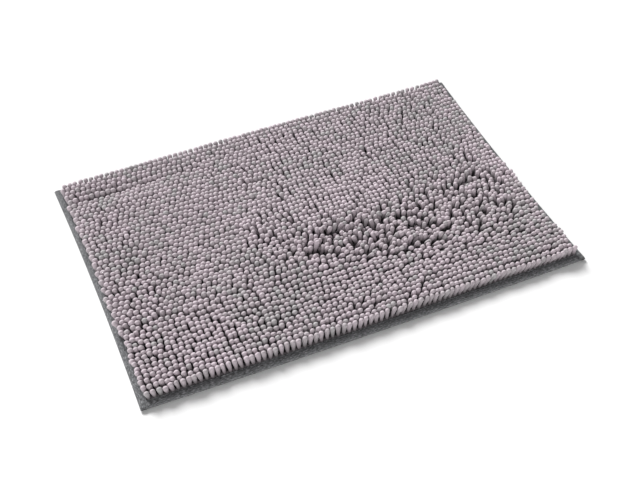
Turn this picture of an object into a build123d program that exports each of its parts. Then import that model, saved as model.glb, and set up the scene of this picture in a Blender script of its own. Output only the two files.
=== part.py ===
"""A rectangular chenille mat: a thick pile of soft yarn fingers on a cushioned, non-slip, tape-bound base.

Millimetres. +X runs along the long side, +Y towards the back, +Z up. The origin is on the floor, at the
centre of the mat's underside. The mat lies flat, and nothing on it moves on a hinge or a slide.
"""

from build123d import *
import os

# Overall size
MAT_LENGTH = 600.0
MAT_WIDTH = 400.0
MAT_HEIGHT = 20.0

# Layers of the base, from the floor up
TAPE_THICKNESS = 0.7
SHEET_THICKNESS = 0.8
FOAM_THICKNESS = 2.0
CLOTH_THICKNESS = 0.8

# Edge tape and its seam
TAPE_WIDTH = 10.0
SEAM_INSET = 7.8
THREAD_WIDTH = 0.6
THREAD_THICKNESS = 0.3
SEAM_SINK = 0.1

# Grip dots under the non-slip sheet
DOT_PITCH = 15.0
DOT_RADIUS = 2.2

# Pile: rows of yarn along X, each with a finger standing at every stitch
ROW_COUNT = 51
FINGERS_PER_ROW = 80
PILE_CLEARANCE = 0.5
ROW_THICKNESS = 6.4
YARN_BED = 1.6
FINGER_TAPER = 0.12

# Worked out from the sizes above
SHEET_BOTTOM = TAPE_THICKNESS
FOAM_BOTTOM = SHEET_BOTTOM + SHEET_THICKNESS
CLOTH_BOTTOM = FOAM_BOTTOM + FOAM_THICKNESS
CLOTH_TOP = CLOTH_BOTTOM + CLOTH_THICKNESS
EDGE_HEIGHT = CLOTH_TOP + TAPE_THICKNESS
LAYER_LENGTH = MAT_LENGTH - 2 * TAPE_THICKNESS
LAYER_WIDTH = MAT_WIDTH - 2 * TAPE_THICKNESS
DOT_COLUMNS = int((MAT_LENGTH - 2 * TAPE_WIDTH - 2 * DOT_RADIUS) // DOT_PITCH) + 1
DOT_ROWS = int((MAT_WIDTH - 2 * TAPE_WIDTH - 2 * DOT_RADIUS) // DOT_PITCH) + 1
PILE_LENGTH = MAT_LENGTH - 2 * TAPE_WIDTH - 2 * PILE_CLEARANCE
PILE_WIDTH = MAT_WIDTH - 2 * TAPE_WIDTH - 2 * PILE_CLEARANCE
FINGER_PITCH = PILE_LENGTH / FINGERS_PER_ROW
ROW_PITCH = (PILE_WIDTH - ROW_THICKNESS) / (ROW_COUNT - 1)
BED_TOP = CLOTH_TOP + YARN_BED
GROOVE_DEPTH = SEAM_SINK + THREAD_THICKNESS
SEAM_LENGTH = MAT_LENGTH - 2 * SEAM_INSET
SEAM_WIDTH = MAT_WIDTH - 2 * SEAM_INSET

os.makedirs("parts", exist_ok=True)


def write(piece, label):
    """Names a finished piece and writes its file."""
    piece.label = label
    export_step(piece, f"parts/{label}.step", write_pcurves=False)


def draw_seam_line():
    """The thread's closed line round the mat, drawn in the sketch that is open."""
    Rectangle(SEAM_LENGTH, SEAM_WIDTH)
    Rectangle(SEAM_LENGTH - 2 * THREAD_WIDTH, SEAM_WIDTH - 2 * THREAD_WIDTH, mode=Mode.SUBTRACT)


def make_layer(bottom, thickness):
    """One full sheet of the base, as long and wide as the space inside the edge tape."""
    with BuildPart() as layer:
        with BuildSketch(Plane.XY.offset(bottom)):
            Rectangle(LAYER_LENGTH, LAYER_WIDTH)
        extrude(amount=thickness)
    return layer.part


def make_nonslip_backing():
    """The moulded rubber sheet, with round grip dots that reach down to the floor."""
    with BuildPart() as backing:
        with BuildSketch(Plane.XY.offset(SHEET_BOTTOM)):
            Rectangle(LAYER_LENGTH, LAYER_WIDTH)
        extrude(amount=SHEET_THICKNESS)
        with BuildSketch(Plane.XY):
            with GridLocations(DOT_PITCH, DOT_PITCH, DOT_COLUMNS, DOT_ROWS):
                Circle(DOT_RADIUS)
        extrude(amount=SHEET_BOTTOM)
    return backing.part


def make_binding(centre, length, width):
    """A tape folded round one edge: it holds the layers' edges, and the seam's threads sink into it."""
    with BuildPart() as binding:
        with BuildSketch(Plane.XY):
            with Locations(centre):
                Rectangle(length, width)
        extrude(amount=EDGE_HEIGHT)
        with BuildSketch(Plane.XY.offset(TAPE_THICKNESS)):
            Rectangle(LAYER_LENGTH, LAYER_WIDTH)
        extrude(amount=EDGE_HEIGHT - 2 * TAPE_THICKNESS, mode=Mode.SUBTRACT)
        with BuildSketch(Plane.XY, Plane.XY.offset(EDGE_HEIGHT - GROOVE_DEPTH)):
            draw_seam_line()
        extrude(amount=GROOVE_DEPTH, mode=Mode.SUBTRACT)
    return binding.part


def make_seam_thread(bottom):
    """One thread of the lock stitch, as the line that it draws all round the edge tape."""
    with BuildPart() as thread:
        with BuildSketch(Plane.XY.offset(bottom)):
            draw_seam_line()
        extrude(amount=THREAD_THICKNESS)
    return thread.part


def make_pile_row(y):
    """One chenille yarn at y: a bed sewn along the ground cloth, and round-tipped fingers side by side.

    A finger's outline is a cubic curve, which rises to three quarters of its control points' height.
    """
    control_height = BED_TOP + (MAT_HEIGHT - BED_TOP) / 0.75
    taper = FINGER_TAPER * FINGER_PITCH
    left = -PILE_LENGTH / 2
    with BuildPart() as row:
        with BuildSketch(Plane.XZ.offset(-y - ROW_THICKNESS / 2)):
            with BuildLine():
                Polyline((left, BED_TOP), (left, CLOTH_TOP), (-left, CLOTH_TOP), (-left, BED_TOP))
                for finger in range(FINGERS_PER_ROW):
                    start = left + finger * FINGER_PITCH
                    end = start + FINGER_PITCH
                    Bezier(
                        (start, BED_TOP),
                        (start + taper, control_height),
                        (end - taper, control_height),
                        (end, BED_TOP),
                    )
            make_face()
        extrude(amount=ROW_THICKNESS)
    return row.part


write(make_nonslip_backing(), "nonslip_backing")
write(make_layer(FOAM_BOTTOM, FOAM_THICKNESS), "foam_interlayer")
write(make_layer(CLOTH_BOTTOM, CLOTH_THICKNESS), "ground_cloth")

# The side tapes run the whole width and close the corners; the front and back tapes butt against them.
SIDE_CENTRE = (MAT_LENGTH - TAPE_WIDTH) / 2
LONG_CENTRE = (MAT_WIDTH - TAPE_WIDTH) / 2
LONG_TAPE = MAT_LENGTH - 2 * TAPE_WIDTH
write(make_binding((-SIDE_CENTRE, 0), TAPE_WIDTH, MAT_WIDTH), "binding_left")
write(make_binding((SIDE_CENTRE, 0), TAPE_WIDTH, MAT_WIDTH), "binding_right")
write(make_binding((0, -LONG_CENTRE), LONG_TAPE, TAPE_WIDTH), "binding_front")
write(make_binding((0, LONG_CENTRE), LONG_TAPE, TAPE_WIDTH), "binding_back")
write(make_seam_thread(EDGE_HEIGHT - GROOVE_DEPTH), "needle_thread")
write(make_seam_thread(SEAM_SINK), "bobbin_thread")

for number in range(1, ROW_COUNT + 1):
    row_y = (ROW_THICKNESS - PILE_WIDTH) / 2 + (number - 1) * ROW_PITCH
    write(make_pile_row(row_y), f"pile_row_{number:02d}")
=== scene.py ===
"""Looks of the chenille mat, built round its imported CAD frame. Metres, in the frame's own axes.

The pile is grown here: every yarn finger is bent by a map of strokes, pushed clear of its neighbours and
skinned as a soft teardrop. The woven edge tape, its stitches and the base layers follow the mat's outline.
"""

from math import cos, pi, radians, sin

import bpy
import numpy as np
from mathutils import Matrix, Vector


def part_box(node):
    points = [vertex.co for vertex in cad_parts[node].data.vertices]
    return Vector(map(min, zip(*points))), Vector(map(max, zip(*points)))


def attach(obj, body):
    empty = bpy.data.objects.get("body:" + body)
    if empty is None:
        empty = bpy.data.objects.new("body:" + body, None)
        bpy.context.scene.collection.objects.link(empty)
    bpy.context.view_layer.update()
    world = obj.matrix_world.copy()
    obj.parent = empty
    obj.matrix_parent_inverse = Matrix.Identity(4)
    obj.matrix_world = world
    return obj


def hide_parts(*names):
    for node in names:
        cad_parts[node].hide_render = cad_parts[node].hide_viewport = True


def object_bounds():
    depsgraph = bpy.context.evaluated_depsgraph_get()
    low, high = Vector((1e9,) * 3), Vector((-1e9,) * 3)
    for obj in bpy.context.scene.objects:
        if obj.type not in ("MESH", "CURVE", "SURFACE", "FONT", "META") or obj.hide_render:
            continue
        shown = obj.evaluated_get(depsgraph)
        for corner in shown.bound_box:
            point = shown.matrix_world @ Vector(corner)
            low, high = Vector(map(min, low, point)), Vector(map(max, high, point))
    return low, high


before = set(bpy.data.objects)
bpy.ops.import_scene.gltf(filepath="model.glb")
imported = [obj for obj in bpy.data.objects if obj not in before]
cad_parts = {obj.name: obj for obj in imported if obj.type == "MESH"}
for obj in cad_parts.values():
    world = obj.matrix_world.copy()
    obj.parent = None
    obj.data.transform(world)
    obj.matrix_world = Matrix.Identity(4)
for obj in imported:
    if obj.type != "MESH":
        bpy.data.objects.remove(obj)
cad_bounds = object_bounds()

MM = 0.001
SEED = 7


# ---------------- sizes, read from the frame

def node_box(node):
    """Lowest and highest corner of a CAD node as two numpy arrays."""
    low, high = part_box(node)
    return np.array(low), np.array(high)


ROWS = sorted(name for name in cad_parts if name.startswith("pile_row_"))
ROW_COUNT = len(ROWS)
FINGERS = 80
mat_low, mat_high = (np.array(corner) for corner in cad_bounds)
MAT_LENGTH, MAT_WIDTH = (mat_high - mat_low)[:2]
FOAM_BOTTOM = node_box("foam_interlayer")[0][2]
FOAM_TOP = node_box("ground_cloth")[0][2]
CLOTH_TOP = node_box("ground_cloth")[1][2]
EDGE_TOP = node_box("binding_front")[1][2]
TAPE_WIDTH = float(np.ptp([corner[1] for corner in node_box("binding_front")]))
TAPE_THICKNESS = EDGE_TOP - CLOTH_TOP
# The tape's lower leg lies on the floor, and the non-slip sheet lies on that leg.
SHEET_BOTTOM = TAPE_THICKNESS
first_low, first_high = node_box(ROWS[0])
last_low, last_high = node_box(ROWS[-1])
PILE_LENGTH = first_high[0] - first_low[0]
FINGER_PITCH = PILE_LENGTH / FINGERS
FIRST_ROW_Y = (first_low[1] + first_high[1]) / 2
LAST_ROW_Y = (last_low[1] + last_high[1]) / 2
ROW_PITCH = (LAST_ROW_Y - FIRST_ROW_Y) / (ROW_COUNT - 1)
THREAD_WIDTH = 0.6 * MM
SEAM_INSET = MAT_LENGTH / 2 - node_box("needle_thread")[1][0] + THREAD_WIDTH / 2


# ---------------- small helpers

def smoothstep(low, high, value):
    """0 below low, 1 above high and smooth between; low may be the larger one."""
    t = np.clip((value - low) / (high - low), 0, 1)
    return t * t * (3 - 2 * t)


# Smooth noise repeats after so many cells, starts off a cell's corner, and is scaled up to reach 1.
NOISE_CELLS = 64
NOISE_START = (17.3, 11.7)
NOISE_GAIN = 1.4


def smooth_noise(x, y, cell, seed):
    """Soft random hills between about -1 and 1, with bumps about one cell wide."""
    table = np.random.default_rng(SEED * 1000 + seed).uniform(-1, 1, (NOISE_CELLS, NOISE_CELLS))
    u, v = np.asarray(x) / cell + NOISE_START[0], np.asarray(y) / cell + NOISE_START[1]
    i, j = np.floor(u).astype(int), np.floor(v).astype(int)
    a, b = smoothstep(0, 1, u - i), smoothstep(0, 1, v - j)
    i, j, next_i, next_j = (index % NOISE_CELLS for index in (i, j, i + 1, j + 1))
    near = table[i, j] * (1 - a) + table[next_i, j] * a
    far = table[i, next_j] * (1 - a) + table[next_i, next_j] * a
    return (near * (1 - b) + far * b) * NOISE_GAIN


def patch(x, y, centre, size, turn=0.0, edge=0.5):
    """1 inside an oval of half sizes size, turned by turn degrees, falling to 0 over edge of its size."""
    c, s = cos(radians(turn)), sin(radians(turn))
    dx, dy = x - centre[0], y - centre[1]
    reach = np.hypot((dx * c + dy * s) / size[0], (dy * c - dx * s) / size[1])
    return smoothstep(1 + edge, 1 - edge, reach)


def unit(vectors):
    """The same directions with length 1."""
    return vectors / np.maximum(np.linalg.norm(vectors, axis=-1, keepdims=True), 1e-12)


# How far the middle of each edge of the soft mat bows in or out, against its straight CAD line.
BOW_LEFT = 3.0 * MM
BOW_RIGHT = 4.0 * MM
BOW_FRONT = 2.5 * MM
BOW_BACK = 1.0 * MM


def warp(points):
    """Moves points sideways as the soft mat's edges bow a little between their corners."""
    points = np.array(points, float)
    across, along = points[..., 1] / (MAT_WIDTH / 2), points[..., 0] / (MAT_LENGTH / 2)
    bow_x, bow_y = 1 - np.clip(across, -1, 1) ** 2, 1 - np.clip(along, -1, 1) ** 2
    left, right = np.clip(-along, 0, None) ** 2, np.clip(along, 0, None) ** 2
    front, back = np.clip(-across, 0, None) ** 2, np.clip(across, 0, None) ** 2
    points[..., 0] += bow_x * (BOW_LEFT * left - BOW_RIGHT * right)
    points[..., 1] += bow_y * (BOW_BACK * back - BOW_FRONT * front)
    return points


def grid_quads(rows, columns, closed):
    """Faces of a grid of vertices kept row by row; closed joins each row's last vertex to its first."""
    steps = columns if closed else columns - 1
    row, column = np.meshgrid(np.arange(rows - 1), np.arange(steps), indexing="ij")
    a, b = row * columns + column, row * columns + (column + 1) % columns
    return np.stack([a, b, b + columns, a + columns], -1).reshape(-1, 4)


def place_object(name, data):
    """A new object in the scene."""
    piece = bpy.data.objects.new(name, data)
    bpy.context.scene.collection.objects.link(piece)
    return piece


def make_object(name, vertices, faces, material, bake_map=None):
    """A mesh piece in the scene, with its material, riding on the mat's one body.

    faces is a list of arrays, and bake_map one place in the unit square for each corner of each face.
    """
    mesh = bpy.data.meshes.new(name)
    all_faces = [face for part in faces for face in part.tolist()]
    mesh.from_pydata(np.reshape(vertices, (-1, 3)).tolist(), [], all_faces)
    mesh.polygons.foreach_set("use_smooth", [True] * len(mesh.polygons))
    mesh.materials.append(material)
    if bake_map is not None:
        mesh.uv_layers.new(name="OFBake").data.foreach_set("uv", np.asarray(bake_map, np.float32).ravel())
    mesh.update()
    piece = place_object(name, mesh)
    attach(piece, "root")
    return piece


def add_attribute(piece, name, values):
    """One number for each vertex, which a material can read by name."""
    layer = piece.data.attributes.new(name, "FLOAT", "POINT")
    layer.data.foreach_set("value", np.asarray(values, np.float32).ravel())


def frames_along(path, closed):
    """Two directions square to a path at each of its points, for sections that don't twist much."""
    if closed:
        way = unit(np.roll(path, -1, 0) - np.roll(path, 1, 0))
    else:
        way = unit(np.gradient(path, axis=0))
    side = unit(np.cross(way, (0, 0, 1)))
    return side, np.cross(side, way)


def tube(path, radius, sides, closed):
    """Vertices and faces of a round tube along a path; an open one is closed by a fan at each end."""
    side, other = frames_along(path, closed)
    around = 2 * pi * np.arange(sides) / sides
    spread = np.cos(around)[:, None] * side[:, None, :] + np.sin(around)[:, None] * other[:, None, :]
    vertices = (path[:, None, :] + radius * spread).reshape(-1, 3)
    count = len(path)
    if closed:
        quads = grid_quads(count + 1, sides, True) % (count * sides)
        return vertices, [quads]
    vertices = np.concatenate([vertices, path[:1], path[-1:]])
    k = np.arange(sides)
    start, end, last = count * sides, count * sides + 1, (count - 1) * sides
    fans = [
        np.stack([np.full(sides, start), (k + 1) % sides, k], -1),
        np.stack([np.full(sides, end), last + k, last + (k + 1) % sides], -1),
    ]
    return vertices, [grid_quads(count, sides, True), *fans]


# ---------------- camera, light and floor

def make_camera():
    """A short telephoto view from the front left, looking down at 46 degrees."""
    azimuth, elevation, roll = radians(22.93), radians(46.38), radians(-0.54)
    target, distance = Vector((-0.0106, -0.0440, 0.0)), 1.4913
    forward = Vector((sin(azimuth) * cos(elevation), cos(azimuth) * cos(elevation), -sin(elevation)))
    level = forward.cross(Vector((0, 0, 1))).normalized()
    upright = level.cross(forward)
    right = level * cos(roll) + upright * sin(roll)
    up = upright * cos(roll) - level * sin(roll)
    data = bpy.data.cameras.new("camera")
    data.sensor_width = 36.0
    data.lens = 64.5
    camera = place_object("camera", data)
    turn = Matrix((right, up, -forward)).transposed().to_4x4()
    camera.matrix_world = Matrix.Translation(target - forward * distance) @ turn
    bpy.context.scene.camera = camera


def add_sun(name, towards, strength, spread):
    """A distant light that comes from the direction towards, soft over spread degrees."""
    data = bpy.data.lights.new(name, "SUN")
    data.energy = strength
    data.angle = radians(spread)
    light = place_object(name, data)
    light.location = towards
    light.rotation_euler = Vector(towards).to_track_quat("Z", "Y").to_euler()


def make_studio():
    """A white floor under soft light: the key stands behind the mat, and a low fill to its front left."""
    world = bpy.data.worlds.new("studio")
    world.use_nodes = True
    sky = world.node_tree.nodes["Background"]
    sky.inputs["Color"].default_value = (1.0, 1.0, 1.0, 1)
    sky.inputs["Strength"].default_value = 0.22
    bpy.context.scene.world = world
    bpy.context.scene.view_settings.view_transform = "Standard"
    add_sun("key", (-0.16, 1.0, 0.67), 4.85, 22)
    add_sun("fill", (-0.7, -1.0, 0.34), 1.5, 40)
    floor_half = 6.0
    corners = [(-1, -1), (1, -1), (1, 1), (-1, 1)]
    mesh = bpy.data.meshes.new("floor")
    mesh.from_pydata([(x * floor_half, y * floor_half, 0) for x, y in corners], [], [(0, 1, 2, 3)])
    floor = place_object("floor", mesh)
    paper = Nodes("floor_paper")
    paper.fill(paper.shader, Base_Color=(0.93, 0.93, 0.93), Roughness=0.9, Specular_IOR_Level=0.1)
    mesh.materials.append(paper.material)


# ---------------- materials

TAPE_THREAD_PITCH = 0.9 * MM
CLOTH_THREAD_PITCH = 1.2 * MM


class Nodes:
    """A new material, with short ways to add and join its shader nodes."""

    def __init__(self, name):
        self.material = bpy.data.materials.new(name)
        self.material.use_nodes = True
        self.tree = self.material.node_tree
        self.shader = self.tree.nodes["Principled BSDF"]

    def feed(self, socket, value):
        """Joins an input to another node's output, or sets its own value; colours leave out their alpha."""
        if isinstance(value, bpy.types.NodeSocket):
            self.tree.links.new(value, socket)
        elif socket.type == "RGBA":
            socket.default_value = (*value, 1)
        else:
            socket.default_value = value

    def fill(self, node, **inputs):
        """Feeds a node's inputs by name, with _ for a space."""
        for name, value in inputs.items():
            self.feed(node.inputs[name.replace("_", " ")], value)
        return node

    def add(self, kind, **inputs):
        return self.fill(self.tree.nodes.new(kind), **inputs)

    def places(self):
        """The piece's own coordinates in metres."""
        return self.add("ShaderNodeTexCoord").outputs["Object"]

    def noise(self, scale, detail=2.0, roughness=0.5, places=None):
        texture = self.add("ShaderNodeTexNoise", Vector=places or self.places())
        self.fill(texture, Scale=scale, Detail=detail, Roughness=roughness)
        return texture.outputs["Fac"]

    def number(self, name):
        """A number stored on the piece's vertices."""
        node = self.add("ShaderNodeAttribute")
        node.attribute_name = name
        return node.outputs["Fac"]

    def math(self, operation, *values):
        node = self.add("ShaderNodeMath")
        node.operation = operation
        for socket, value in zip(node.inputs, values):
            self.feed(socket, value)
        return node.outputs[0]

    def ramp(self, factor, *stops):
        """Colours, or greys, at given places along factor."""
        node = self.add("ShaderNodeValToRGB", Fac=factor)
        elements = node.color_ramp.elements
        while len(elements) < len(stops):
            elements.new(0.5)
        for element, (position, colour) in zip(elements, stops):
            element.position = position
            element.color = (*colour, 1) if hasattr(colour, "__len__") else (colour, colour, colour, 1)
        return node.outputs["Color"]

    def multiply(self, first, second):
        """Two colours multiplied; the node's colour inputs are at 6 and 7, and its colour output at 2."""
        node = self.add("ShaderNodeMix")
        node.data_type = "RGBA"
        node.blend_type = "MULTIPLY"
        for place, value in ((0, 1.0), (6, first), (7, second)):
            self.feed(node.inputs[place], value)
        return node.outputs[2]

    def surface(self, colour, relief, depth, strength=1.0):
        """Sets the shader's colour, and its fine relief with a depth in metres."""
        bump = self.add("ShaderNodeBump", Height=relief, Distance=depth, Strength=strength)
        self.fill(self.shader, Base_Color=colour, Normal=bump.outputs["Normal"])

    def cloth(self, roughness=0.95, sheen=0.3, sheen_tint=(1, 1, 1)):
        """The dull surface and soft sheen of textile fibres."""
        self.fill(self.shader, Roughness=roughness, Specular_IOR_Level=0.15)
        self.fill(self.shader, Sheen_Weight=sheen, Sheen_Roughness=0.45, Sheen_Tint=sheen_tint)


def chenille_material():
    """Mauve-grey microfibre, tinted finger by finger. Its colour darkens towards the root and is a little
    paler at the tip: partly the yarn's own darker root, partly painted shade deep in the pile.
    """
    nodes = Nodes("chenille")
    # Painted shade, partly the yarn's own darker root: the colour darkens from tip to root.
    along = nodes.ramp(nodes.number("along"), (0.0, 0.16), (0.45, 0.66), (0.8, 0.95), (1.0, 1.06))
    tint = nodes.ramp(
        nodes.number("tint"),
        (0.0, (0.484, 0.466, 0.472)),
        (0.4, (0.555, 0.490, 0.522)),
        (1.0, (0.635, 0.552, 0.598)),
    )
    fibres = nodes.noise(1500, detail=3, roughness=0.65)
    fleck = nodes.ramp(fibres, (0.3, 0.82), (0.7, 1.14))
    nodes.surface(nodes.multiply(nodes.multiply(tint, along), fleck), fibres, 0.0006, 0.6)
    nodes.cloth(sheen_tint=(1.0, 0.95, 0.98))
    return nodes.material


def tape_material(name, painted_light):
    """Plain-woven melange tape: fine crossed threads, with short pale and dark flecks along its length. Each
    edge gets its own copy of the same tape, made lighter or darker all over as painted light and shade.
    """
    nodes = Nodes(name)
    lengthwise, across = nodes.number("lengthwise"), nodes.number("across")
    place = nodes.add("ShaderNodeCombineXYZ", X=lengthwise, Y=across)
    flecks = nodes.add("ShaderNodeMapping", Vector=place.outputs["Vector"], Scale=(0.3, 1, 1))
    fleck = nodes.noise(850, detail=2, roughness=0.6, places=flecks.outputs["Vector"])
    cloud = nodes.noise(60, detail=2)
    # All three greys are scaled together, as painted light and shade that differ from edge to edge.
    colour = nodes.ramp(
        fleck,
        (0.32, (0.050 * painted_light,) * 3),
        (0.50, (0.125 * painted_light, 0.128 * painted_light, 0.133 * painted_light)),
        (0.68, (0.27 * painted_light, 0.27 * painted_light, 0.28 * painted_light)),
    )
    colour = nodes.multiply(colour, nodes.ramp(cloud, (0.3, 0.85), (0.7, 1.1)))
    weave = weave_height(nodes, lengthwise, across, TAPE_THREAD_PITCH)
    # Painted shade: the colour darkens where the weave is low, between the threads.
    colour = nodes.multiply(colour, nodes.ramp(weave, (0.0, 0.65), (0.6, 1.08)))
    nodes.surface(colour, weave, 0.0003, 0.8)
    nodes.cloth(roughness=0.9, sheen=0.15)
    return nodes.material


def weave_height(nodes, along, across, pitch):
    """Height of a plain weave: threads one way and the other that go over each other in turn."""
    turns = [nodes.math("MULTIPLY", place, pi / pitch) for place in (along, across)]
    warp_wave, weft_wave = (nodes.math("ABSOLUTE", nodes.math("COSINE", turn)) for turn in turns)
    over = nodes.math("MULTIPLY", *(nodes.math("SINE", turn) for turn in turns))
    ridges = nodes.math("MULTIPLY", nodes.math("MAXIMUM", warp_wave, weft_wave), 0.6)
    return nodes.math("ADD", ridges, nodes.math("MULTIPLY", nodes.math("ABSOLUTE", over), 0.4))


def ground_cloth_material():
    """Dark ground cloth that the yarns are sewn to; it shows only between the roots."""
    nodes = Nodes("ground_cloth_knit")
    colour = nodes.ramp(nodes.noise(900), (0.3, (0.035, 0.032, 0.035)), (0.7, (0.11, 0.10, 0.107)))
    parts = nodes.add("ShaderNodeSeparateXYZ", Vector=nodes.places())
    weave = weave_height(nodes, parts.outputs["X"], parts.outputs["Y"], CLOTH_THREAD_PITCH)
    nodes.surface(colour, weave, 0.0004)
    nodes.cloth()
    return nodes.material


def foam_material():
    """Pale open-cell foam, with its small cells as pits, and painted shade darker in the pits."""
    nodes = Nodes("foam_cells")
    cells = nodes.add("ShaderNodeTexVoronoi", Vector=nodes.places(), Scale=1100)
    pits = cells.outputs["Distance"]
    # Painted shade: the colour darkens towards the middle of each cell, where its pit is deepest.
    nodes.surface(nodes.ramp(pits, (0.1, (0.34, 0.32, 0.29)), (0.6, (0.60, 0.58, 0.54))), pits, 0.0004)
    nodes.fill(nodes.shader, Roughness=0.95)
    return nodes.material


def rubber_material():
    """Soft dark moulded rubber with a faint matt grain."""
    nodes = Nodes("backing_rubber")
    grain = nodes.noise(700, detail=3)
    colour = nodes.ramp(grain, (0.3, (0.040, 0.040, 0.043)), (0.7, (0.070, 0.070, 0.074)))
    nodes.surface(colour, grain, 0.0002)
    nodes.fill(nodes.shader, Roughness=nodes.math("ADD", nodes.math("MULTIPLY", grain, 0.2), 0.5))
    return nodes.material


def thread_material():
    """Dark spun thread, finely flecked and uneven."""
    nodes = Nodes("seam_thread")
    fibres = nodes.noise(2600, detail=1)
    colour = nodes.ramp(fibres, (0.3, (0.060, 0.060, 0.064)), (0.7, (0.19, 0.19, 0.20)))
    nodes.surface(colour, fibres, 0.0002)
    nodes.cloth(roughness=0.8, sheen=0.1)
    return nodes.material


# ---------------- the pile

ROOT_RADIUS = 1.9 * MM
HEAD_RADIUS = 3.15 * MM
FINGER_LENGTH = 15.8 * MM
SIDES = 12
# The rows' ends were pushed out a little, up against the edge tape.
ROW_STRETCH = 1.006
ROW_DRIFT = 1.3 * MM
ROW_WAVE = 0.5 * MM
# Degrees that neighbouring fingers sway together and each one strays by itself, at full unruliness.
SWAY = 36
STRAY = 12
LEAST_STRAY = 1.5
MOST_TILT = radians(82)
# A finger is three steps long, and each step ends at a bead's centre. The rings of its skin stand at shares
# of those steps, and the round tip goes on from the last bead's centre at these angles.
RINGS = np.linspace(0, 3, 11)
TIP_ANGLES = np.radians([22, 42, 60, 76])
# A tip is a little blunter than half a ball, and has the last fifth of the shades along a finger.
BLUNTNESS = 0.85
SHAFT_SHARE = 0.8
# How far each step bends over: near the root little, and past the finger's lean at the tip.
BEND = np.array([0.45, 1.0, 1.3])
BED_RADIUS = 1.4 * MM
BED_SIDES = 8
# How far a bed reaches past its last root, in steps from root to root.
BED_END = 0.4
# Settling: fingers keep a little more than their radii apart. In each round they move by a share of their
# overlap and spring back by a share of their way, among neighbours up to so many places off.
ELBOW_ROOM = 1.03
YIELD = 0.32
SPRING_BACK = 0.05
NEIGHBOURS = 3
ROUNDS, QUICK_ROUNDS = 60, 12


def thickness(share):
    """A finger's radius at so many steps from its root: thin there, and full at the last bead."""
    return ROOT_RADIUS + (HEAD_RADIUS - ROOT_RADIUS) * smoothstep(0, 3, share)


def finger_grid():
    """Root places of all fingers as arrays of rows by columns, before the mat's outline bows."""
    columns = (np.arange(FINGERS) - (FINGERS - 1) / 2) * FINGER_PITCH * ROW_STRETCH
    lines = np.linspace(FIRST_ROW_Y, LAST_ROW_Y, ROW_COUNT)
    x, y = np.meshgrid(columns, lines)
    row = np.arange(ROW_COUNT)[:, None]
    # Each yarn was fed at its own pace, so that a row drifts against the next one.
    drift = smooth_noise(x, row * 0.37, 0.11, 1) + 0.6 * smooth_noise(x, row * 1.9, 0.05, 2)
    # At the left every other row is half a finger on, so that the tips lie like scales.
    scales = smoothstep(0.02, -0.08, x) * smoothstep(-0.11, -0.06, y)
    stagger = np.where(row % 2 == 0, 0.25, -0.25) * FINGER_PITCH * scales
    # The two front yarns were pushed up against the edge tape.
    crowd = np.where(row == 0, -1.8 * MM, 0) + np.where(row == 1, -0.8 * MM, 0)
    return x + drift * ROW_DRIFT + stagger, y + smooth_noise(x, y, 0.06, 3) * ROW_WAVE + crowd


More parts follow.
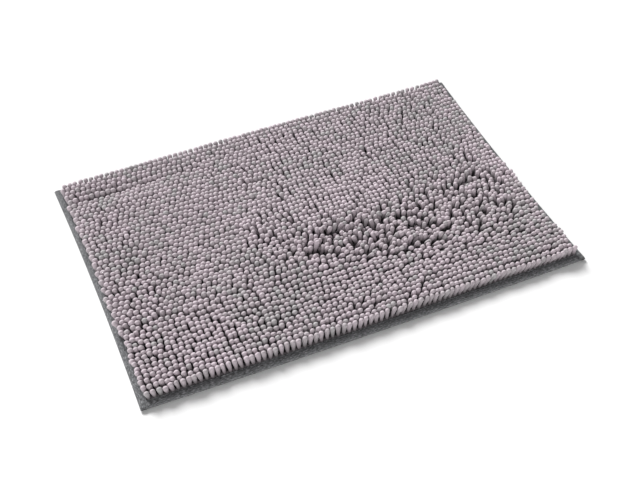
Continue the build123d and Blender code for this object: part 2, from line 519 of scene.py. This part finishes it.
def lean_field(x, y):
    """How far each finger leans, in degrees towards +X and towards +Y, and how unruly it is."""
    lean_x, lean_y = np.zeros_like(x), np.zeros_like(x)
    unruly = np.full_like(x, 0.25)

    def lay(where, towards_x, towards_y, ruffle):
        """Combs the fingers in a patch towards one side."""
        nonlocal lean_x, lean_y, unruly
        lean_x = lean_x * (1 - where) + towards_x * where
        lean_y = lean_y * (1 - where) + towards_y * where
        unruly = unruly * (1 - where) + ruffle * where

    def gather(centre, size, angle):
        """Bends the fingers round a place towards it, or with a negative angle away from it.

        The bend is as large as angle at the distance size, and fades nearer and farther.
        """
        nonlocal lean_x, lean_y
        u, v = (x - centre[0]) / size[0], (y - centre[1]) / size[1]
        pull = angle * np.exp((1 - u * u - v * v) / 2)
        lean_x, lean_y = lean_x - pull * u, lean_y - pull * v

    # The pile was brushed back: a little at the left, more at the right and towards the back edge.
    rightwards = smoothstep(-0.14, 0.02, x)
    backwards = smoothstep(-0.01, 0.19, y)
    back = 6 + 12 * backwards + rightwards * (14 + 6 * backwards)
    lay(np.ones_like(x), 6 - 8 * rightwards, back, 0.14 + 0.10 * rightwards)
    lay(smoothstep(0.12, 0.27, x) * smoothstep(-0.04, 0.05, y), 12, 24, 0.32)
    # Small strokes, most of them to the left, where single shafts show.
    lay(patch(x, y, (-0.055, 0.105), (0.045, 0.022), edge=0.7), -22, 26, 0.4)
    lay(patch(x, y, (-0.030, 0.062), (0.014, 0.016), edge=0.7), -26, 24, 0.4)
    lay(patch(x, y, (0.112, 0.078), (0.014, 0.016), edge=0.7), -28, 24, 0.5)
    lay(patch(x, y, (0.185, 0.105), (0.024, 0.026), edge=0.9), 2, 27, 0.3)
    # One furrow runs in from the left edge.
    lay(patch(x, y, (-0.240, 0.149), (0.075, 0.009), edge=0.8), 0, -18, 0.1)
    lay(patch(x, y, (-0.240, 0.170), (0.075, 0.011), edge=0.8), 0, 34, 0.1)
    # The front band stands nearly upright in neat lines, leaning a little along them.
    sideways = -6 + 14 * smoothstep(-0.25, -0.06, x) + 10 * smoothstep(0.10, 0.26, x)
    upright = smoothstep(-0.12, -0.17, y)
    untidy = 0.20 + 0.22 * smoothstep(0.02, 0.16, x) * smoothstep(-0.15, -0.11, y)
    lay(smoothstep(-0.065, -0.105, y), sideways, -11 + 10 * upright, untidy)
    # A ruffled band runs from the middle to the right edge. It opens: its back side leans back, its front
    # side forward. Two small strokes lie at its left end, and a third near the front edge.
    spread = np.clip((y + 0.062) / 0.045, -1, 1)
    lay(patch(x, y, (0.075, -0.062), (0.130, 0.042), turn=-8, edge=0.4), 16, 5 + 14 * spread, 0.85)
    lay(patch(x, y, (0.215, -0.045), (0.090, 0.060), turn=10, edge=0.4), 9, 8 + 14 * spread, 0.75)
    lay(patch(x, y, (-0.060, 0.012), (0.036, 0.016), turn=-8), -18, 26, 0.6)
    lay(patch(x, y, (-0.070, -0.020), (0.016, 0.020), turn=6, edge=0.9), 6, -2, 0.6)
    lay(patch(x, y, (0.012, -0.168), (0.024, 0.012)), 28, 0, 0.6)
    # At the lower left the tips huddle round one place, and farther back they part round another.
    gather((-0.165, -0.052), (0.040, 0.052), 8)
    gather((-0.250, 0.022), (0.018, 0.022), -9)
    unruly = unruly + 0.14 * patch(x, y, (-0.190, -0.070), (0.10, 0.070))
    return lean_x, lean_y, unruly


def edge_lean(x, y, lean_x, lean_y):
    """The outermost fingers: over the tape at the left and back, nearly upright at the right and front."""
    left, right = smoothstep(-0.205, -0.288, x), smoothstep(0.262, 0.288, x)
    front, back = smoothstep(-0.180, -0.186, y), smoothstep(0.168, 0.188, y)
    sway = smooth_noise(y, 0 * x, 0.035, 5)
    lean_x = lean_x * (1 - left) - (12 + 8 * sway) * left
    lean_x = lean_x * (1 - right) + (13 * sway - 3) * right
    lean_y = lean_y * (1 - back) + (38 + 5 * smooth_noise(x, 0 * y, 0.03, 7)) * back
    # The front row leans a little left near its left end, then more and more to the right, and stands upright
    # again at its right end.
    row_lean = -10 * smoothstep(-0.20, -0.26, x) + 6 * smoothstep(-0.18, -0.10, x)
    row_lean = row_lean + 18 * smoothstep(-0.01, 0.03, x) + 16 * smoothstep(0.09, 0.17, x)
    row_lean = row_lean - 38 * smoothstep(0.25, 0.285, x) + 5 * smooth_noise(x, 0 * y, 0.022, 6)
    lean_x = lean_x * (1 - front) + row_lean * front
    row_back = 13 - 8 * smoothstep(0.16, 0.24, x) - 10 * smoothstep(-0.21, -0.27, x)
    lean_y = lean_y * (1 - front) + row_back * front
    return lean_x, lean_y


def make_fingers():
    """Rest shape of every finger: root and three beads, their radii, the length of one step, and two sizes.

    The sizes are its thickness, and how broad it is along its yarn, both against the usual finger's.
    """
    x, y = finger_grid()
    draw = np.random.default_rng(SEED)
    lean_x, lean_y, unruly = lean_field(x, y)
    lean_x, lean_y = edge_lean(x, y, lean_x, lean_y)
    # The outermost fingers are calmer, above all at the back and the right.
    edge = 0.1 * smoothstep(-0.178, -0.188, y) + 0.2 * smoothstep(-0.272, -0.287, x)
    edge = edge + 0.6 * smoothstep(0.160, 0.185, y) + 0.5 * smoothstep(0.255, 0.282, x)
    unruly = unruly * (1 - np.clip(edge, 0, 0.6))
    for cell, share, seed in ((0.045, 0.15, 10), (0.022, 0.20, 20), (0.012, 0.50, 30)):
        lean_x = lean_x + smooth_noise(x, y, cell, seed) * unruly * share * SWAY
        lean_y = lean_y + smooth_noise(x, y, cell, seed + 1) * unruly * share * SWAY
    lean_x = lean_x + draw.normal(0, 1, x.shape) * (LEAST_STRAY + STRAY * unruly)
    lean_y = lean_y + draw.normal(0, 1, x.shape) * (LEAST_STRAY + STRAY * unruly)
    # Lengths vary less in the front and back rows, and grow where the pile is ruffled.
    variety = 0.05 - 0.035 * smoothstep(0.160, 0.185, y) - 0.035 * smoothstep(-0.180, -0.186, y)
    growth = draw.normal(0, 1, x.shape) * variety + 0.14 * np.clip(unruly - 0.4, 0, 1)
    length = FINGER_LENGTH * (1 + growth)
    # There some fingers are also pressed down between the others.
    pressed = draw.random(x.shape) < 0.45 * np.clip(unruly - 0.45, 0, 0.5)
    length = np.where(pressed, 0.5 * length, length)
    # A finger or two stand out left of the ruffled band, and the front left corner is a little crushed.
    longest = patch(x, y, (-0.018, -0.050), (0.006, 0.005), edge=0.1)
    crushed = smoothstep(-0.21, -0.27, x) * smoothstep(-0.180, -0.186, y)
    length = length * (1 + 0.35 * longest - 0.12 * crushed)
    size = 1 + np.clip(draw.normal(0, 0.05, x.shape), -0.11, 0.11)
    # The fingers are fuller where the pile was combed flat, and thinner in the front band and the ruffles.
    combed = np.maximum(smoothstep(-0.03, 0.03, y), 0.4 * smoothstep(-0.06, -0.10, x))
    size = size + 0.06 * smoothstep(0.16, 0.08, x) * combed
    size = size - 0.045 * smoothstep(-0.105, -0.135, y) - 0.14 * np.clip(unruly - 0.35, 0, 0.6)
    radii = thickness(np.array([1, 2, 3])) * size[..., None]
    step = (length - radii[..., 2]) / 3

    angle = np.radians(np.hypot(lean_x, lean_y))
    heading = np.arctan2(lean_y, lean_x)
    beads = np.zeros((*x.shape, 4, 3))
    beads[..., 0, :] = np.stack([x, y, np.full_like(x, CLOTH_TOP)], -1)
    for k in range(3):
        tilt = np.clip(angle * BEND[k], 0, MOST_TILT)
        way = np.stack([np.sin(tilt) * np.cos(heading), np.sin(tilt) * np.sin(heading), np.cos(tilt)], -1)
        beads[..., k + 1, :] = beads[..., k, :] + way * step[..., None]
    # Fingers that don't lean back press on their neighbours in the yarn, and are a little wider along it.
    broad = 1 + 0.11 * smoothstep(18, 8, lean_y)
    return beads, radii, step, size, broad


def settle(beads, radii, step, rounds):
    """Pushes overlapping fingers apart, while each keeps its length, its root and much of its lean."""
    rest = beads.copy()
    shape = beads.shape[:2]
    near = range(-NEIGHBOURS, NEIGHBOURS + 1)
    offsets = [(j, i) for j in range(NEIGHBOURS + 1) for i in near if j > 0 or i > 0]
    for _ in range(rounds):
        push = np.zeros_like(beads[..., 1:, :])
        for dj, di in offsets:
            a = (slice(0, shape[0] - dj), slice(max(0, -di), shape[1] - max(0, di)))
            b = (slice(dj, shape[0]), slice(max(0, di), shape[1] - max(0, -di)))
            gap = beads[a][..., 1:, None, :] - beads[b][..., None, 1:, :]
            far = np.linalg.norm(gap, axis=-1)
            deep = (radii[a][..., :, None] + radii[b][..., None, :]) * ELBOW_ROOM - far
            if deep.max() <= 0:
                continue
            move = gap * (np.clip(deep, 0, None) / np.maximum(far, 1e-6) * YIELD)[..., None]
            push[a] += move.sum(3)
            push[b] -= move.sum(2)
        beads[..., 1:, :] += push + SPRING_BACK * (rest[..., 1:, :] - beads[..., 1:, :])
        for k in range(3):
            bead = beads[..., k + 1, :]
            bead[..., 2] = np.maximum(bead[..., 2], ground_height(bead) + radii[..., k])
            bead[:] = beads[..., k, :] + unit(bead - beads[..., k, :]) * step[..., None]
    return beads


def ground_height(points):
    """Height of what a finger may lie on: the cloth, the edge tape or the floor."""
    inset = np.minimum(MAT_LENGTH / 2 - np.abs(points[..., 0]), MAT_WIDTH / 2 - np.abs(points[..., 1]))
    return np.where(inset < 0, 0.0, np.where(inset < TAPE_WIDTH, EDGE_TOP, CLOTH_TOP))


def curve_through(beads):
    """Points and directions along each finger's bent middle line, a smooth curve through its beads."""
    before = 2 * beads[..., :1, :] - beads[..., 1:2, :]
    after = 2 * beads[..., -1:, :] - beads[..., -2:-1, :]
    knots = np.concatenate([before, beads, after], -2)
    points, ways = [], []
    for share in RINGS:
        k = min(int(share), 2)
        t = share - k
        p0, p1, p2, p3 = (knots[..., k + n, :] for n in range(4))
        straight, bent, curled = p2 - p0, 2 * p0 - 5 * p1 + 4 * p2 - p3, 3 * p1 - p0 - 3 * p2 + p3
        points.append(0.5 * (2 * p1 + straight * t + bent * t**2 + curled * t**3))
        ways.append(unit(straight + 2 * bent * t + 3 * curled * t**2))
    return np.stack(points, -2), np.stack(ways, -2)


def skin_fingers(beads, size, broad):
    """Vertices of every finger: its rings from root to tip, then the root's centre and the tip's end."""
    middle, ways = curve_through(beads)
    lean = beads[..., 3, :2] - beads[..., 0, :2]
    heading = np.arctan2(lean[..., 1], lean[..., 0])
    level = np.stack([-np.sin(heading), np.cos(heading), np.zeros_like(heading)], -1)[..., None, :]
    side = unit(level - (level * ways).sum(-1, keepdims=True) * ways)
    other = np.cross(ways, side)
    spread = thickness(RINGS) * size[..., None]
    tip_radius = spread[..., -1:]
    tip_way = ways[..., -1:, :]
    tip_middle = middle[..., -1:, :] + tip_way * (BLUNTNESS * tip_radius * np.sin(TIP_ANGLES))[..., None]
    tip_end = middle[..., -1, :] + tip_way[..., 0, :] * BLUNTNESS * tip_radius
    middle = np.concatenate([middle, tip_middle], -2)
    spread = np.concatenate([spread, tip_radius * np.cos(TIP_ANGLES)], -1)
    side = np.concatenate([side, np.repeat(side[..., -1:, :], len(TIP_ANGLES), -2)], -2)
    other = np.concatenate([other, np.repeat(other[..., -1:, :], len(TIP_ANGLES), -2)], -2)

    around = 2 * pi * np.arange(SIDES) / SIDES
    # The skin is a little lumpy, and each lump spreads to its neighbours round the ring and along the finger.
    lumps = np.random.default_rng(SEED + 1).normal(0, 0.05, (*spread.shape, SIDES))
    lumps = (lumps + np.roll(lumps, 1, -1) + np.roll(lumps, 1, -2)) / 1.6
    reach = spread[..., None] * (1 + lumps)
    ring = side[..., None, :] * (reach * np.cos(around))[..., None]
    ring = ring + other[..., None, :] * (reach * np.sin(around))[..., None]
    stretch = np.stack([broad, 2 - broad, np.ones_like(broad)], -1)
    ring = middle[..., None, :] + ring * stretch[..., None, None, :]
    ring = ring.reshape(*spread.shape[:2], spread.shape[-1] * SIDES, 3)
    return np.concatenate([ring, beads[..., :1, :], tip_end[..., None, :]], -2)


def finger_parts():
    """One finger's faces, and for its vertices the share of the way from root to tip.

    The places in the bake map are those of its faces' corners in a cell of width and height 1.
    """
    share = np.concatenate([RINGS / 3 * SHAFT_SHARE, SHAFT_SHARE + (1 - SHAFT_SHARE) * np.sin(TIP_ANGLES)])
    rings = len(share)
    quads = grid_quads(rings, SIDES, True)
    k, row = np.tile(np.arange(SIDES), rings - 1), np.repeat(np.arange(rings - 1), SIDES)
    left, right, low, high = k / SIDES, (k + 1) / SIDES, share[row], share[row + 1]
    quad_map = np.stack([left, low, right, low, right, high, left, high], -1)
    k = np.arange(SIDES)
    left, right, middle, zero = k / SIDES, (k + 1) / SIDES, (k + 0.5) / SIDES, 0 * k
    root, tip, last = rings * SIDES, rings * SIDES + 1, (rings - 1) * SIDES
    root_fan = np.stack([zero + root, (k + 1) % SIDES, k], -1)
    tip_fan = np.stack([zero + tip, last + k, last + (k + 1) % SIDES], -1)
    root_map = np.stack([middle, zero - 0.04, right, zero, left, zero], -1)
    tip_map = np.stack([middle, zero + 1.0, left, zero + share[-1], right, zero + share[-1]], -1)
    maps = [corners.reshape(len(corners), -1, 2) for corners in (quad_map, root_map, tip_map)]
    return [quads, root_fan, tip_fan], maps, np.concatenate([np.repeat(share, SIDES), [0.0, 1.0]])


# A yarn's bake map is a grid with a cell for each finger, and a row of its own for the bed.
CELL_COLUMNS = 10
CELL_ROWS = FINGERS // CELL_COLUMNS + 1
CELL_FILL = 0.92
CELL_MARGIN = 0.05


def make_yarn_bed(roots):
    """The part of a yarn that is sewn down: a wavy tube under its fingers, with its place in the bake map."""
    count = 3 * FINGERS
    along = np.linspace(-BED_END, FINGERS - 1 + BED_END, count)
    x, y = (np.interp(along, np.arange(FINGERS), roots[:, axis]) for axis in (0, 1))
    x[0], x[-1] = roots[0, 0] - BED_END * FINGER_PITCH, roots[-1, 0] + BED_END * FINGER_PITCH
    z = CLOTH_TOP + BED_RADIUS * (0.85 + 0.12 * np.cos(2 * pi * along))
    vertices, faces = tube(warp(np.stack([x, y, z], -1)), BED_RADIUS, BED_SIDES, False)
    top, height = 1 - 1 / CELL_ROWS, CELL_FILL / CELL_ROWS
    k, row = np.tile(np.arange(BED_SIDES), count - 1), np.repeat(np.arange(count - 1), BED_SIDES)
    left, right = row / (count - 1), (row + 1) / (count - 1)
    low, high = top + height * k / BED_SIDES, top + height * (k + 1) / BED_SIDES
    quad_map = np.stack([left, low, left, high, right, high, right, low], -1)
    k = np.arange(BED_SIDES)
    low, high, middle = (top + height * (k + part) / BED_SIDES for part in (0, 1, 0.5))
    inner = 1 / (count - 1)
    start_map = np.stack([0 * k + inner, middle, 0 * k, high, 0 * k, low], -1)
    end_map = np.stack([0 * k + 1 - inner, middle, 0 * k + 1, low, 0 * k + 1, high], -1)
    return vertices, faces, [corners.reshape(-1, 2) for corners in (quad_map, start_map, end_map)]


def make_pile(material):
    """One piece for each yarn: its bed on the cloth and all its fingers."""
    beads, radii, step, size, broad = make_fingers()
    beads = settle(beads, radii, step, ROUNDS)
    vertices = warp(skin_fingers(beads, size, broad))
    roots = beads[..., 0, :]
    draw = np.random.default_rng(SEED + 2)
    # Tints drift from place to place, and differ from finger to finger.
    tint = 0.5 + 0.16 * smooth_noise(roots[..., 0], roots[..., 1], 0.06, 40)
    tint = tint + 0.15 * smooth_noise(roots[..., 0], roots[..., 1], 0.015, 41)
    tint = np.clip(tint + draw.normal(0, 0.24, tint.shape), 0, 1)
    parts, maps, share = finger_parts()
    count = vertices.shape[2]
    finger = np.arange(FINGERS)
    first = (finger * count)[:, None, None]
    cell = np.stack([finger % CELL_COLUMNS, finger // CELL_COLUMNS], -1)[:, None, None, :]
    cell_size = np.array([1 / CELL_COLUMNS, 1 / CELL_ROWS])
    finger_faces = [(part[None] + first).reshape(-1, part.shape[1]) for part in parts]
    cell = cell + CELL_MARGIN
    finger_maps = [((cell + CELL_FILL * part[None]) * cell_size).reshape(-1, 2) for part in maps]
    yarns = []
    for row, node in enumerate(ROWS):
        bed, bed_faces, bed_maps = make_yarn_bed(roots[row])
        body = vertices[row].reshape(-1, 3)
        faces = finger_faces + [part + len(body) for part in bed_faces]
        bake_map = np.concatenate(finger_maps + bed_maps)
        name = node.replace("pile_row", "chenille_yarn")
        piece = make_object(name, np.concatenate([body, bed]), faces, material, bake_map)
        # The beds take share 0, the darkest colour of the root: painted shade under the fingers.
        add_attribute(piece, "along", np.concatenate([np.tile(share, FINGERS), np.zeros(len(bed))]))
        add_attribute(piece, "tint", np.concatenate([np.repeat(tint[row], count), np.full(len(bed), 0.5)]))
        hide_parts(node)
        yarns.append(piece)
    return yarns


# ---------------- edge tapes and their seam

SECTION_STEP = 1.0 * MM
STITCH = 3.0 * MM
# The seam pulls a groove into the tape, and its stitches pucker the tape beside it.
SEAM_DIP = 0.40 * MM
DIP_REACH = 0.7 * MM
STITCH_PUCKER = 0.12 * MM
PUCKER_REACH = 2.0 * MM
EDGE_PUFF = 0.30 * MM
# The side tapes' ends are folded in over this length, and lie a little higher where they lap over.
END_FOLD = 2.6 * MM
LAP_LIFT = 0.35 * MM
# The front and back tapes are tucked this far under the side tapes, and sink a little there.
LAP = 1.5 * MM
TUCK_DROP = 0.40 * MM
TAPE_WOBBLE = 0.25 * MM
# Points across a leg of the tape, as shares of its width in from the edge, closer together at the seam.
LEG_STOPS = np.array([2.6, 3.6, 4.8, 6.0, 6.9, 7.5, 7.9, 8.3, 8.7, 9.3, 9.8, 10.0]) / 10
ARC_STEPS = 9
MAP_STRIPS = 6
# The needle thread stands proud in a stitch and sinks at its holes; the bobbin thread below does the reverse.
NEEDLE_PROUD = 0.25 * MM
NEEDLE_SUNK = 0.30 * MM
BOBBIN_LOW = 0.32 * MM
BOBBIN_HIGH = 0.55 * MM
THREAD_SIDES = 6


def bell(distance, reach):
    """1 at no distance, and fading to both sides within about reach."""
    return np.exp(-((distance / reach) ** 2))


def leg_height(inset, along, depth):
    """Height of the tape's upper leg, with a puff beside the seam, the seam's dip and the stitches' pucker.

    depth is how far below the outer face it is taken.
    """
    puff = EDGE_PUFF * np.sin(np.clip((inset / SEAM_INSET - 0.28) / 0.72, 0, 1) * pi)
    dip = SEAM_DIP * bell(inset - SEAM_INSET, DIP_REACH)
    pucker = STITCH_PUCKER * np.cos(2 * pi * along / STITCH) * bell(inset - SEAM_INSET, PUCKER_REACH)
    return EDGE_TOP - depth + puff - dip - pucker


def tape_section(along):
    """Outer and inner outline of the folded tape at each place along it, as inset from the edge and height.

    Each runs from the inner end of the leg on the floor, round the fold, to the inner end of the upper leg.
    """
    fold = EDGE_TOP / 2
    legs = LEG_STOPS * TAPE_WIDTH
    turn = np.linspace(-pi / 2, -3 * pi / 2, ARC_STEPS)
    zero = 0 * along[:, None]
    low, high = legs[::-1] + zero, legs + zero
    outlines = []
    for depth in (0.0, TAPE_THICKNESS):
        # On the floor only the outer face has the seam's groove, half as deep as above.
        low_z = depth + SEAM_DIP * 0.5 * bell(low - SEAM_INSET, DIP_REACH) * (depth == 0)
        high_z = leg_height(high, along[:, None], depth)
        arc, arc_z = (fold + (fold - depth) * wave(turn) + zero for wave in (np.cos, np.sin))
        inset, height = np.concatenate([low, arc, high], 1), np.concatenate([low_z, arc_z, high_z], 1)
        outlines.append(np.stack([inset, height], -1))
    return outlines


def make_binding(name, start, end, inward, laps, material):
    """A woven tape folded round one edge of the mat, from start to end.

    With laps it closes the corners and lies over the other tapes; without, it is tucked under them.
    """
    start, end, inward = (np.array(point, float) for point in (start, end, inward))
    length = np.linalg.norm(end - start)
    along = np.linspace(0, length, int(length / SECTION_STEP) + 1)
    outer, inner = tape_section(along)
    to_end = np.minimum(along, length - along)
    if laps:
        closed = np.sqrt(np.clip(1 - (1 - np.clip(to_end / END_FOLD, 0, 1)) ** 2, 0.02, 1))
        lift = LAP_LIFT * smoothstep(TAPE_WIDTH + 3 * MM, TAPE_WIDTH - 1 * MM, to_end)
    else:
        closed = np.ones_like(along)
        lift = -TUCK_DROP * smoothstep(LAP + 1.2 * MM, LAP, to_end)
    # Its inner edge wavers a little.
    wobble = TAPE_WOBBLE * smooth_noise(along, 0 * along, 0.022, 60 + len(name))
    fold = EDGE_TOP / 2
    loops = []
    for outline in (outer, inner[:, ::-1]):
        inset = outline[..., 0] + wobble[:, None] * smoothstep(0, TAPE_WIDTH, outline[..., 0])
        rise = smoothstep(0.3, 0.9, outline[..., 1] / EDGE_TOP) * lift[:, None]
        height = fold + (outline[..., 1] - fold) * closed[:, None] + rise
        loops.append(np.stack([inset, np.maximum(height, 0)], -1))
    loop = np.concatenate(loops, 1)
    line = start + (end - start) * (along / length)[:, None]
    flat = line[:, None, :] + inward * loop[..., :1]
    vertices = warp(np.concatenate([flat, loop[..., 1:]], -1))
    count, around = loop.shape[:2]
    half = around // 2
    k = np.arange(half - 1)
    cap = np.stack([k, around - 1 - k, around - 2 - k, k + 1], -1)
    faces = [grid_quads(count, around, True), cap, cap[:, ::-1] + (count - 1) * around]
    if np.cross(end - start, inward) > 0:
        faces = [part[:, ::-1] for part in faces]

    girth = np.concatenate([[0], np.cumsum(np.linalg.norm(np.diff(outer[0], axis=0), axis=1))])
    across = np.concatenate([girth, girth[::-1]])
    piece = make_object(name, vertices, faces, material, tape_map(faces, count, around, along / length))
    add_attribute(piece, "across", np.tile(across, count))
    add_attribute(piece, "lengthwise", np.repeat(along, around))
    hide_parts(name.replace("edge_tape", "binding"))


def tape_map(faces, count, around, share):
    """Bake map of a tape: its length is cut into strips, which lie one above the other in the square."""
    maps = []
    for face in np.concatenate(faces):
        row, k = face // around, face % around
        strip = min(int(share[row.min()] * MAP_STRIPS), MAP_STRIPS - 1)
        if k.max() - k.min() == around - 1 and row.max() > row.min():
            k = np.where(k == 0, around, k)
        u = (share[row] * MAP_STRIPS - strip) * 0.94 + 0.01
        v = (strip + 0.03 + 0.92 * k / around) / MAP_STRIPS
        if row.max() == row.min():
            u = 0.97 + 0.02 * (k > around / 2) + 0 * row
        maps.append(np.stack([u, v], -1))
    return np.concatenate(maps)


def seam_path(high, low):
    """Points of a thread on its closed line round the mat, at high in a stitch and at low in its holes."""
    half_x, half_y = MAT_LENGTH / 2 - SEAM_INSET, MAT_WIDTH / 2 - SEAM_INSET
    corners = [(-half_x, -half_y), (half_x, -half_y), (half_x, half_y), (-half_x, half_y)]
    rise = np.array([0.0, 0.62, 0.93, 1.0, 0.93, 0.62])
    path = []
    for start, end in zip(corners, corners[1:] + corners[:1]):
        start, end = np.array(start), np.array(end)
        stitches = round(float(np.linalg.norm(end - start)) / STITCH)
        share = np.arange(stitches * len(rise)) / (stitches * len(rise))
        height = low + (high - low) * np.tile(rise, stitches)
        path.append(np.concatenate([start + (end - start) * share[:, None], height[:, None]], 1))
    return warp(np.concatenate(path))


def make_thread(name, node, high, low, material):
    """One thread of the seam, as a round cord."""
    vertices, faces = tube(seam_path(high, low), THREAD_WIDTH / 2, THREAD_SIDES, True)
    piece = make_object(name, vertices, faces, material)
    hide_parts(node)


# ---------------- layers of the base

# The layers end where the rounded fold of the tape has room for them.
CLOTH_INSET = 2.5 * MM
FOAM_INSET = 1.2 * MM
BACKING_INSET = 2.5 * MM
FOAM_CELL = 6.0 * MM
CLOTH_CELL = 2.5 * MM
CLOTH_RIDGE = 0.1 * MM
DOT_PITCH = 15.0 * MM
DOT_RADIUS = 2.2 * MM
DOT_COLUMNS, DOT_ROWS = 38, 25
# Rings of a grip dot from its foot to near its lowest point: radius and depth as shares of the dot's.
DOT_RINGS = [(1.22, 0.0), (1.0, 0.30), (0.78, 0.72), (0.42, 0.96)]
DOT_SIDES = 16


def rim_quads(rows, columns, offset):
    """Faces between the rims of two equal grids, the second of which starts at offset and lies below."""
    front = np.arange(columns)
    right = np.arange(rows) * columns + columns - 1
    back = np.arange(columns)[::-1] + (rows - 1) * columns
    left = np.arange(rows)[::-1] * columns
    rim = np.concatenate([front[:-1], right[:-1], back[:-1], left[:-1]])
    after = np.roll(rim, -1)
    return np.stack([after, rim, rim + offset, after + offset], -1)


def slab(xs, ys, high, low):
    """Vertices of two equal grids over xs and ys, and the faces of the top, the bottom and the rim."""
    x, y = np.meshgrid(xs, ys)
    vertices = [np.stack([x, y, z + 0 * x], -1).reshape(-1, 3) for z in (high, low)]
    sheet = grid_quads(len(ys), len(xs), False)
    return vertices, [sheet, sheet[:, ::-1] + x.size, rim_quads(len(ys), len(xs), x.size)]


def make_layer(name, node, inset, low, high, cell, ridge, material):
    """A closed sheet with the mat's outline, which sinks by twice ridge between the rows of yarn."""
    half_x, half_y = MAT_LENGTH / 2 - inset, MAT_WIDTH / 2 - inset
    xs = np.linspace(-half_x, half_x, int(2 * half_x / cell) + 1)
    ys = np.linspace(-half_y, half_y, int(2 * half_y / cell) + 1)
    relief = ridge * np.cos(2 * pi * (ys - FIRST_ROW_Y) / ROW_PITCH) - ridge
    vertices, faces = slab(xs, ys, high + relief[:, None], low)
    piece = make_object(name, warp(np.concatenate(vertices)), faces, material)
    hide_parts(node)
    return piece


def make_backing(material):
    """The moulded rubber sheet: flat above, and below a field of low round domes that grip the floor."""
    parts = DOT_SIDES // 4
    spread_x, spread_y = DOT_COLUMNS * DOT_PITCH / 2, DOT_ROWS * DOT_PITCH / 2
    half_x, half_y = MAT_LENGTH / 2 - BACKING_INSET, MAT_WIDTH / 2 - BACKING_INSET
    xs = np.concatenate([[-half_x], np.linspace(-spread_x, spread_x, DOT_COLUMNS * parts + 1), [half_x]])
    ys = np.concatenate([[-half_y], np.linspace(-spread_y, spread_y, DOT_ROWS * parts + 1), [half_y]])
    vertices, (above, below, rim) = slab(xs, ys, FOAM_BOTTOM, SHEET_BOTTOM)
    columns, rows, first_low = len(xs), len(ys), len(vertices[0])
    cell_column, cell_row = np.meshgrid(np.arange(columns - 1), np.arange(rows - 1))
    in_field = (cell_column > 0) & (cell_column < columns - 2) & (cell_row > 0) & (cell_row < rows - 2)
    faces = [above, below[~in_field.ravel()], rim]

    # Each dot fills a square of the field: the square's rim, rings and a pole.
    step = np.arange(parts)
    rim_row = np.concatenate([0 * step, step, 0 * step + parts, parts - step])
    rim_column = np.concatenate([step, 0 * step + parts, parts - step, 0 * step])
    around = np.arctan2(rim_row - parts / 2, rim_column - parts / 2)
    k = np.arange(DOT_SIDES)
    after = (k + 1) % DOT_SIDES
    circle = np.stack([DOT_RADIUS * np.cos(around), DOT_RADIUS * np.sin(around), 0 * around], -1)
    rings = [circle * share - (0, 0, depth * SHEET_BOTTOM) for share, depth in DOT_RINGS]
    dome = np.concatenate(rings + [np.array([[0, 0, -SHEET_BOTTOM]])])
    pole = len(dome) - 1
    first = 2 * first_low
    for row in range(DOT_ROWS):
        for column in range(DOT_COLUMNS):
            centre_x, centre_y = (column + 0.5) * DOT_PITCH - spread_x, (row + 0.5) * DOT_PITCH - spread_y
            vertices.append(dome + (centre_x, centre_y, SHEET_BOTTOM))
            square = (1 + row * parts + rim_row) * columns + 1 + column * parts + rim_column + first_low
            faces.append(np.stack([square, first + k, first + after, square[after]], -1))
            faces.append(grid_quads(len(DOT_RINGS), DOT_SIDES, True)[:, ::-1] + first)
            last = first + pole - DOT_SIDES
            faces.append(np.stack([last + after, last + k, 0 * k + first + pole], -1))
            first += len(dome)
    piece = make_object("grip_sheet", warp(np.concatenate(vertices)), faces, material)
    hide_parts("nonslip_backing")


def make_base(yarns):
    """The three layers, the four tapes round their edges and the two threads of the seam."""
    make_backing(rubber_material())
    foam = make_layer(
        "cushion_foam", "foam_interlayer", FOAM_INSET, FOAM_BOTTOM, FOAM_TOP, FOAM_CELL, 0.0,
        foam_material(),
    )
    cloth = make_layer(
        "ground_layer", "ground_cloth", CLOTH_INSET, FOAM_TOP, CLOTH_TOP, CLOTH_CELL,
        CLOTH_RIDGE, ground_cloth_material(),
    )
    half_x, half_y = MAT_LENGTH / 2, MAT_WIDTH / 2
    inner_x = half_x - TAPE_WIDTH + LAP
    # Side, start, end, way inwards, whether it laps over the others, and how light its grey is painted:
    # painted light and shade on one and the same tape, lighter at the front and left, darker at the right.
    tapes = (
        ("left", (-half_x, -half_y), (-half_x, half_y), (1, 0), True, 1.05),
        ("right", (half_x, -half_y), (half_x, half_y), (-1, 0), True, 0.8),
        ("front", (-inner_x, -half_y), (inner_x, -half_y), (0, 1), False, 1.3),
        ("back", (-inner_x, half_y), (inner_x, half_y), (0, -1), False, 1.0),
    )
    for side, start, end, inward, laps, painted_light in tapes:
        material = tape_material(f"tape_{side}", painted_light)
        make_binding(f"edge_tape_{side}", start, end, inward, laps, material)
    thread = thread_material()
    seam_top = EDGE_TOP - SEAM_DIP
    make_thread("needle_stitches", "needle_thread", seam_top + NEEDLE_PROUD, seam_top - NEEDLE_SUNK, thread)
    make_thread("bobbin_stitches", "bobbin_thread", BOBBIN_LOW, BOBBIN_HIGH, thread)


# ---------------- build

make_camera()
make_studio()
make_base(make_pile(chenille_material()))
